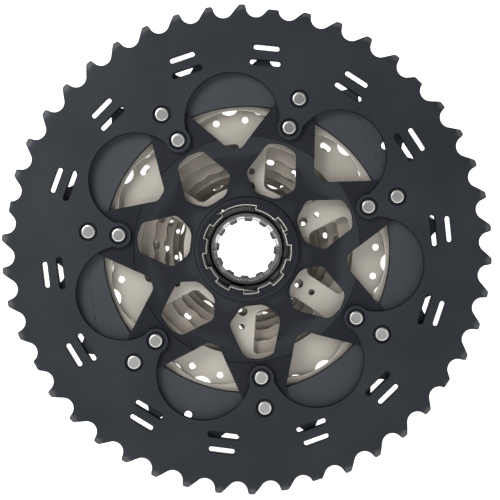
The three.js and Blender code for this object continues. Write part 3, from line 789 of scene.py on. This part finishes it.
def small_plate(teeth, node):
    low, high = faces_of(node)
    if teeth in (13, 11):
        low = high - 1.8 * MM
    phase = PHASES[TEETH.index(teeth)]
    plate = toothed_blank(f"sprocket_{teeth}_teeth", teeth, phase, SMALL_RISE, low, high)
    if GATES[teeth]:
        tip = pitch_radius(teeth) + SMALL_RISE
        combine(plate, joined("tops", gate_cutters(teeth, phase, tip, low, high)))
        combine(plate, joined("ramps", ramp_cutters(teeth, phase, high)))
    if teeth in LANDS:
        combine(plate, small_window(teeth, low, high))
    arms = [FIRST_SMALL_ARM + 60 * index for index in range(6)]
    drills = []
    if 19 <= teeth <= 24:
        drills += [drill(1.2 * MM, PIN_CIRCLE, angle, low, high) for angle in arms[1::2]]
        drills += [drill(1.5 * MM, PIN_CIRCLE + 0.5 * MM, angle, low, high) for angle in arms[0::2]]
    if 15 <= teeth <= 24:
        radius = (1.5 if teeth > 15 else 1.1) * MM
        drills += [drill(radius, ARM_HOLE_CIRCLE + 0.6 * MM, arms[arm] - 3.2, low, high) for arm in (0, 4, 5)]
    depth, radius, length, numbers = LIGHT_HOLES.get(teeth, (0, 0, 0, ()))
    drills += [capsule("light_hole", root_radius(teeth) - depth, phase + number * 360 / teeth, length,
                       2 * radius, low, high) for number in numbers]
    if drills:
        combine(plate, joined("drills", drills))
    return plate


# %% [markdown]
# ## Holes of the fourth sprocket
# The broad face of the fourth sprocket shows from the wheel side, so its holes matter: round ones
# under some of its teeth, two long ones, and two on each arm, one of them a pin hole.

# %% Fourth sprocket and the small plates
plates = {teeth: small_plate(teeth, f"sprocket_{teeth}t") for teeth in TEETH[3:]}
low, high = faces_of("sprocket_28t")
step = 360 / 28
light_circle = root_radius(28) - 2.2 * MM
drills = [drill(1.3 * MM, light_circle, PHASES[3] + tooth * step, low, high) for tooth in (0, 7, 8, 15, 19, 20, 27)]
drills += [drill((1.05, 1.15)[arm % 2] * MM, PIN_CIRCLE, FIRST_SMALL_ARM + 60 * arm, low, high)
           for arm in range(6)]
drills += [drill(1.7 * MM, ARM_HOLE_CIRCLE, FIRST_SMALL_ARM + 60 * arm, low, high) for arm in range(6)]
drills += [capsule("long_hole", light_circle, PHASES[3] + tooth * step, 4.7 * MM, 2.6 * MM, low, high)
           for tooth in (4, 11)]
combine(plates[28], joined("drills", drills))

# %% [markdown]
# ## Bosses
# The two smallest sprockets have no loose spacer. A boss on the inboard face does its work, and is
# part of the plate, so it is joined on before the bore is cut through both.

# %% Bosses, bores and finish of the small plates
BOSSES = {13: 19.5 * MM, 11: 17.95 * MM}
for teeth, plate in plates.items():
    node = f"sprocket_{teeth}t"
    low, high = faces_of(node)
    if teeth in BOSSES:
        combine(plate, add_disc("boss", BOSSES[teeth], low, high - MM, 96), "UNION")
    combine(plate, spline_cutter, keep=True)
    soften(plate, 0.22 * MM)
    finish_piece(plate, node, "nickel_steel")
    print(node, len(plate.data.polygons), "faces")

# %% [markdown]
# ## The carrier
# The carrier is turned first and cut afterwards, as it would be made. Its section runs from the hub
# end down to the dished floor, up a cone to the rim, out along the arms and back. Spinning that
# section about the axis gives the blank. Windows, pockets, rivet holes and the splined bore follow.

# %% Carrier blank
ARM_NOSE = 6.4 * MM
hub_radius = 20.1 * MM
low, high = faces_of("carrier")
arm_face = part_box("sprocket_46t")[1].y
arm_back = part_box("sprocket_37t")[0].y
pad_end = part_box("sprocket_32t")[0].y
dish, floor_back = 3.4 * MM, 6.2 * MM
carrier_end = OUTER_RIVETS + ARM_NOSE
core = SPLINE_MINOR - MM
section = [
    (core, 0), (hub_radius - 1.0 * MM, 0), (hub_radius - 0.85 * MM, 0.3 * MM), (hub_radius - 0.3 * MM, 0.3 * MM),
    (hub_radius, 0.6 * MM), (hub_radius, dish - 0.5 * MM), (hub_radius + 0.5 * MM, dish),
    (FLOOR_RADIUS - 0.4 * MM, dish), (FLOOR_RADIUS + 0.3 * MM, dish - 0.25 * MM),
    (DISC_RADIUS - 0.2 * MM, arm_face + 0.5 * MM), (DISC_RADIUS, arm_face + 0.3 * MM), (DISC_RADIUS, arm_face),
    (carrier_end, arm_face), (carrier_end, arm_back), (DISC_RADIUS, arm_back), (FLOOR_RADIUS, floor_back),
    (hub_radius, floor_back), (hub_radius, high), (core, high), (core, 0),
]
carrier = draw_line("carrier_body", [Vector((radius, depth, 0)) for radius, depth in section])
bpy.ops.mesh.select_all(action="SELECT")
bpy.ops.mesh.remove_doubles(threshold=0.001 * MM)
bpy.ops.mesh.select_all(action="SELECT")
bpy.ops.mesh.spin(steps=168, angle=2 * math.pi, center=(0, 0, 0), axis=(0, 1, 0), use_auto_merge=True)
bpy.ops.mesh.select_all(action="SELECT")
bpy.ops.mesh.remove_doubles(threshold=0.001 * MM)
bpy.ops.mesh.normals_make_consistent(inside=False)
bpy.ops.object.mode_set(mode="OBJECT")
print("carrier blank", len(carrier.data.polygons), "faces")

# %% [markdown]
# A pocket between two arms has a short flat bottom and two straight sides. Each side runs out to
# graze the round nose of its arm, so the side's direction is worked out from that nose. A window in
# the dish has six round corners and points towards the rim.

# %% Carrier pockets and windows
POCKET_HALF = 2.4 * MM
pocket_bottom = FLOOR_RADIUS + 0.6 * MM


def pocket_side(side):
    """The bottom corner of a pocket centred on +X, and a point far out along its side."""
    corner = Vector((pocket_bottom, 0, side * POCKET_HALF))
    nose = polar(OUTER_RIVETS, side * 180 / ARM_COUNT)
    to_nose = nose - corner
    angle = math.degrees(math.atan2(to_nose.z, to_nose.x))
    graze = math.degrees(math.asin(ARM_NOSE / to_nose.length))
    return corner, corner + polar(36 * MM, angle - side * graze)


bottom_a, out_a = pocket_side(1)
bottom_b, out_b = pocket_side(-1)
far = Vector((90 * MM, 0, 0))
pocket = draw_plate("pocket", [bottom_b, out_b, far, out_a, bottom_a], low - MM, high + MM,
                    rounds=[(0, 1.0 * MM, 5), (4, 1.0 * MM, 5)])
turn(pocket, FIRST_ARM + 180 / ARM_COUNT)
combine(carrier, ring_of(pocket, ARM_COUNT))

window_in, window_out = hub_radius + 1.8 * MM, DISC_RADIUS - 0.9 * MM
half_window = [(window_in, 4.4 * MM), (window_in + 6.3 * MM, 10.2 * MM), (window_out - 1.3 * MM, 5.8 * MM)]
corners = [Vector((x, 0, z)) for x, z in half_window] + [Vector((window_out, 0, 0))]
corners += [Vector((x, 0, -z)) for x, z in reversed(half_window)]
reaches = [2.0, 1.7, 1.7, 1.6, 1.7, 1.7, 2.0]
window = draw_plate("window", corners, low - MM, high + MM,
                    rounds=[(index, reach * MM, 6) for index, reach in enumerate(reaches)])
turn(window, FIRST_ARM)
combine(carrier, ring_of(window, ARM_COUNT))

# %% [markdown]
# Behind each inner rivet a round pad reaches back to the third sprocket. Pads, rivet holes and the
# bore finish the carrier. The mouth of the bore is chamfered after the black coat is on, so that
# edge is bare and bright.

# %% Carrier pads, holes and bore
for index in range(ARM_COUNT):
    spot = polar(INNER_RIVETS, FIRST_ARM + index * 360 / ARM_COUNT)
    pad = add_disc("pad", 4.7 * MM, (arm_face + arm_back) / 2, pad_end, 48, (spot.x, spot.z))
    combine(carrier, pad, "UNION")
for circle in (OUTER_RIVETS, INNER_RIVETS):
    combine(carrier, joined("holes", rivet_seats(circle, low, high, recess=False)))
combine(carrier, spline_cutter, keep=True)
only(carrier)
bpy.ops.object.mode_set(mode="EDIT")
pick(carrier, "EDGE", lambda co: abs(co.y) < 0.01 * MM and math.hypot(co.x, co.z) < SPLINE_MAJOR + 0.1 * MM)
bpy.ops.mesh.bevel(offset=0.35 * MM, segments=1, clamp_overlap=True)
bpy.ops.object.mode_set(mode="OBJECT")
soften(carrier, 0.15 * MM, triangles="after")
finish_piece(carrier, "carrier", "black_alloy")
print("carrier", len(carrier.data.polygons), "faces")

# %% [markdown]
# ## Rivets
# A rivet is turned: a low head with a rounded rim and a flat, slightly sunk middle, a shank, and the
# end that was set with a punch. One is spun for each circle at the place of its first arm, and the
# copies are turned round to the other arms.

# %% Rivets
def spun_piece(name, section, centre=Vector((0, 0, 0)), steps=40, closed=False):
    """A section of (radius, depth) pairs, spun about an axis parallel to Y."""
    points = [Vector((centre.x + radius, depth, centre.z)) for radius, depth in section]
    obj = draw_line(name, points)
    bpy.ops.mesh.select_all(action="SELECT")
    bpy.ops.mesh.remove_doubles(threshold=0.001 * MM)
    bpy.ops.mesh.select_all(action="SELECT")
    bpy.ops.mesh.spin(steps=steps, angle=2 * math.pi, center=centre, axis=(0, 1, 0), use_auto_merge=True)
    bpy.ops.mesh.select_all(action="SELECT")
    bpy.ops.mesh.remove_doubles(threshold=0.001 * MM)
    bpy.ops.mesh.normals_make_consistent(inside=False)
    bpy.ops.object.mode_set(mode="OBJECT")
    bpy.ops.object.shade_smooth_by_angle(angle=math.radians(30))
    return obj


def rivet_section(node):
    top, end = faces_of(node)
    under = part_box("sprocket_46t")[0].y + RECESS_DEPTH
    tail = end - 0.6 * MM
    return [
        (0, top + 0.12 * MM), (1.82 * MM, top + 0.12 * MM), (1.95 * MM, top), (2.2 * MM, top),
        (2.42 * MM, top + 0.08 * MM), (2.5 * MM, top + 0.3 * MM), (2.5 * MM, under), (1.6 * MM, under),
        (1.6 * MM, tail), (2.4 * MM, tail), (2.4 * MM, end - 0.25 * MM), (2.15 * MM, end),
        (0.9 * MM, end), (0.6 * MM, end - 0.2 * MM), (0, end - 0.2 * MM),
    ]


for circle_name, circle in [("outer", OUTER_RIVETS), ("inner", INNER_RIVETS)]:
    first = None
    for index in range(ARM_COUNT):
        node = f"{circle_name}_rivet_{index + 1}"
        if first is None:
            first = spun_piece(f"{circle_name}_rivet_head_1", rivet_section(node), polar(circle, 0))
            master = copy_of(first, "rivet_master")
            turn(first, FIRST_ARM)
            piece = first
        else:
            piece = turn(copy_of(master, f"{circle_name}_rivet_head_{index + 1}"),
                         FIRST_ARM + index * 360 / ARM_COUNT)
        finish_piece(piece, node, "rivet_steel")
    bpy.data.objects.remove(master)
print("fourteen rivets")

# %% [markdown]
# ## Pins, spacers, washer and lock ring
# The small turned pieces fill the rest of the stack. Block pins are rods with drilled ends. The
# spacers are moulded rings with a groove round the outside. The lock ring is the brightest piece: a
# flange with a knurled rim, a threaded barrel, and a socket of square teeth for its tool.

# %% Pins and spacers
for index in range(3):
    node = f"block_pin_{index + 1}"
    low, high = faces_of(node)
    rod, edge = 1.05 * MM, 0.2 * MM
    bore, bottom = 0.85 * MM, (high - low) / 2 - 0.3 * MM
    section = [(0, low + bottom), (bore, low + bottom), (bore, low), (rod - edge, low), (rod, low + edge),
               (rod, high - edge), (rod - edge, high), (bore, high), (bore, high - bottom), (0, high - bottom)]
    pin = spun_piece(f"pin_{index + 1}", section, polar(PIN_CIRCLE, 0), 24)
    finish_piece(turn(pin, FIRST_SMALL_ARM + 60 * (2 * index + 1)), node, "rivet_steel")

for pair in ("28_24", "24_21", "21_19", "19_17", "17_15"):
    node = f"spacer_{pair}"
    low, high = faces_of(node)
    inner, outer, edge = SPLINE_MAJOR + 0.2 * MM, 20 * MM, 0.15 * MM
    middle = (low + high) / 2
    section = [
        (inner, low + edge), (inner + edge, low), (outer - edge, low), (outer, low + edge),
        (outer, middle - 0.45 * MM), (outer - 0.35 * MM, middle - 0.3 * MM),
        (outer - 0.35 * MM, middle + 0.3 * MM), (outer, middle + 0.45 * MM), (outer, high - edge),
        (outer - edge, high), (inner + edge, high), (inner, high - edge), (inner, low + edge),
    ]
    ring = spun_piece(f"spacer_ring_{pair}", section, steps=96)
    finish_piece(ring, node, "black_plastic")

# %% Washer and lock ring
low, high = faces_of("lock_washer")
inner, outer = 15.65 * MM, 17.2 * MM
washer = spun_piece("spring_washer", [
    (inner, low + 0.05 * MM), (inner + 0.05 * MM, low), (outer - 0.05 * MM, low), (outer, low + 0.05 * MM),
    (outer, high - 0.05 * MM), (outer - 0.05 * MM, high), (inner + 0.05 * MM, high),
    (inner, high - 0.05 * MM), (inner, low + 0.05 * MM)], steps=96)
finish_piece(washer, "lock_washer", "lock_steel")

low, high = faces_of("lock_ring")
flange = high - 1.6 * MM
barrel, flange_radius, edge = 15.3 * MM, 17.6 * MM, 0.35 * MM
bore, thread_depth, thread_pitch = 13.4 * MM, 0.45 * MM, 25.4 * MM / 24
core = 10.2 * MM
section = [(core, low), (barrel - 0.8 * MM, low)]
depth = low + 0.4 * MM
while depth < flange - 1.4 * MM:
    section += [(barrel - thread_depth, depth), (barrel, depth + thread_pitch / 2)]
    depth += thread_pitch
section += [
    (barrel - thread_depth, depth), (barrel - thread_depth, flange), (flange_radius - edge, flange),
    (flange_radius, flange + edge), (flange_radius, high - edge), (flange_radius - edge, high),
    (core, high), (core, low),
]
lock_ring = spun_piece("lock_ring_body", section, steps=120)
TOOL_TEETH, TOOL_TIP, TOOL_ROOT = 12, 11.2 * MM, 12.15 * MM
FIRST_TOOL_TOOTH = 26.4
socket_points = []
for index in range(TOOL_TEETH):
    tooth = FIRST_TOOL_TOOTH + index * 360 / TOOL_TEETH
    socket_points += [polar(TOOL_ROOT, tooth - 9), *arc(TOOL_TIP, tooth - 6, tooth + 6, 2)]
    socket_points += arc(TOOL_ROOT, tooth + 9, tooth + 17, 2)
socket = draw_plate("socket", socket_points, low - MM, high + MM)
combine(lock_ring, socket)
tool_face, cone_end = high - 4.6 * MM, high - 3.2 * MM
combine(lock_ring, spun_piece("relief", [(0, low - MM), (bore, low - MM), (bore, tool_face),
                                         (TOOL_ROOT, cone_end), (0, cone_end)], steps=96))
knurl = capsule("knurl", flange_radius + 0.25 * MM, 0, 0.9 * MM, 0.9 * MM, flange, high, slope=0.05 * MM)
combine(lock_ring, ring_of(knurl, 60))
soften(lock_ring, 0.1 * MM, triangles="after")
finish_piece(lock_ring, "lock_ring", "lock_steel")
bpy.data.objects.remove(spline_cutter)
print("lock ring", len(lock_ring.data.polygons), "faces")

# %% [markdown]
# ## Stage, light and camera
# The set stands on its teeth in front of a seamless white sweep. One broad soft light hangs high on
# the left and a weaker one fills from the right, as for a catalogue picture. The camera looks
# straight down the axis from the wheel side.

# %% Stage
floor_level = cad_bounds[0][2] - 0.3 * MM
bpy.ops.object.select_all(action="DESELECT")
bpy.ops.mesh.primitive_plane_add(size=1, location=(0, 0, floor_level))
sweep = bpy.context.object
sweep.name = "sweep"
bpy.ops.object.mode_set(mode="EDIT")
bpy.ops.mesh.select_all(action="SELECT")
bpy.ops.transform.resize(value=(4.0, 1.4, 1))
pick(sweep, "EDGE", lambda co: co.y > 0.6)
bpy.ops.mesh.extrude_region_move(TRANSFORM_OT_translate={"value": (0, 0.12, 0.02)})
bpy.ops.mesh.extrude_region_move(TRANSFORM_OT_translate={"value": (0, 0.08, 0.08)})
bpy.ops.mesh.extrude_region_move(TRANSFORM_OT_translate={"value": (0, 0.02, 0.12)})
bpy.ops.mesh.extrude_region_move(TRANSFORM_OT_translate={"value": (0, 0, 1.6)})
bpy.ops.object.mode_set(mode="OBJECT")
bpy.ops.object.transform_apply(location=True, rotation=True, scale=True)
bpy.ops.object.shade_smooth()
paper = bpy.data.materials.new("white paper")
paper.use_nodes = True
paper_shader = paper.node_tree.nodes["Principled BSDF"]
paper_shader.inputs["Base Color"].default_value = (0.7, 0.7, 0.7, 1)
paper_shader.inputs["Roughness"].default_value = 0.9
paper_shader.inputs["Emission Color"].default_value = (1, 1, 1, 1)
paper_shader.inputs["Emission Strength"].default_value = 1.0
sweep.data.materials.append(paper)


# %% Lights and camera
def area_light(name, place, size, power, target=Vector((0, 0, 0))):
    data = bpy.data.lights.new(name, "AREA")
    data.shape = "DISK"
    data.size = size
    data.energy = power
    light = bpy.data.objects.new(name, data)
    bpy.context.scene.collection.objects.link(light)
    light.location = place
    light.rotation_euler = (target - Vector(place)).to_track_quat("-Z", "Y").to_euler()
    return light


area_light("key", (-0.32, -0.48, 0.27), 0.35, 3.4)
area_light("fill", (0.35, -0.75, -0.1), 0.5, 0.8)
world = bpy.data.worlds.new("studio")
bpy.context.scene.world = world
world.use_nodes = True
world.node_tree.nodes["Background"].inputs["Color"].default_value = (1, 1, 1, 1)
world.node_tree.nodes["Background"].inputs["Strength"].default_value = 0.14
bpy.context.scene.view_settings.view_transform = "Standard"

camera_data = bpy.data.cameras.new("camera")
camera_data.sensor_width = 36
camera_data.lens = 97.7
camera_data.clip_start = 0.01
camera = bpy.data.objects.new("camera", camera_data)
bpy.context.scene.collection.objects.link(camera)
camera.location = (-1.33 * MM, -522 * MM, 5.49 * MM)
camera_data.shift_x = 0.0133
camera_data.shift_y = -0.0298
camera.rotation_euler = (math.pi / 2, 0, 0)
bpy.context.scene.camera = camera
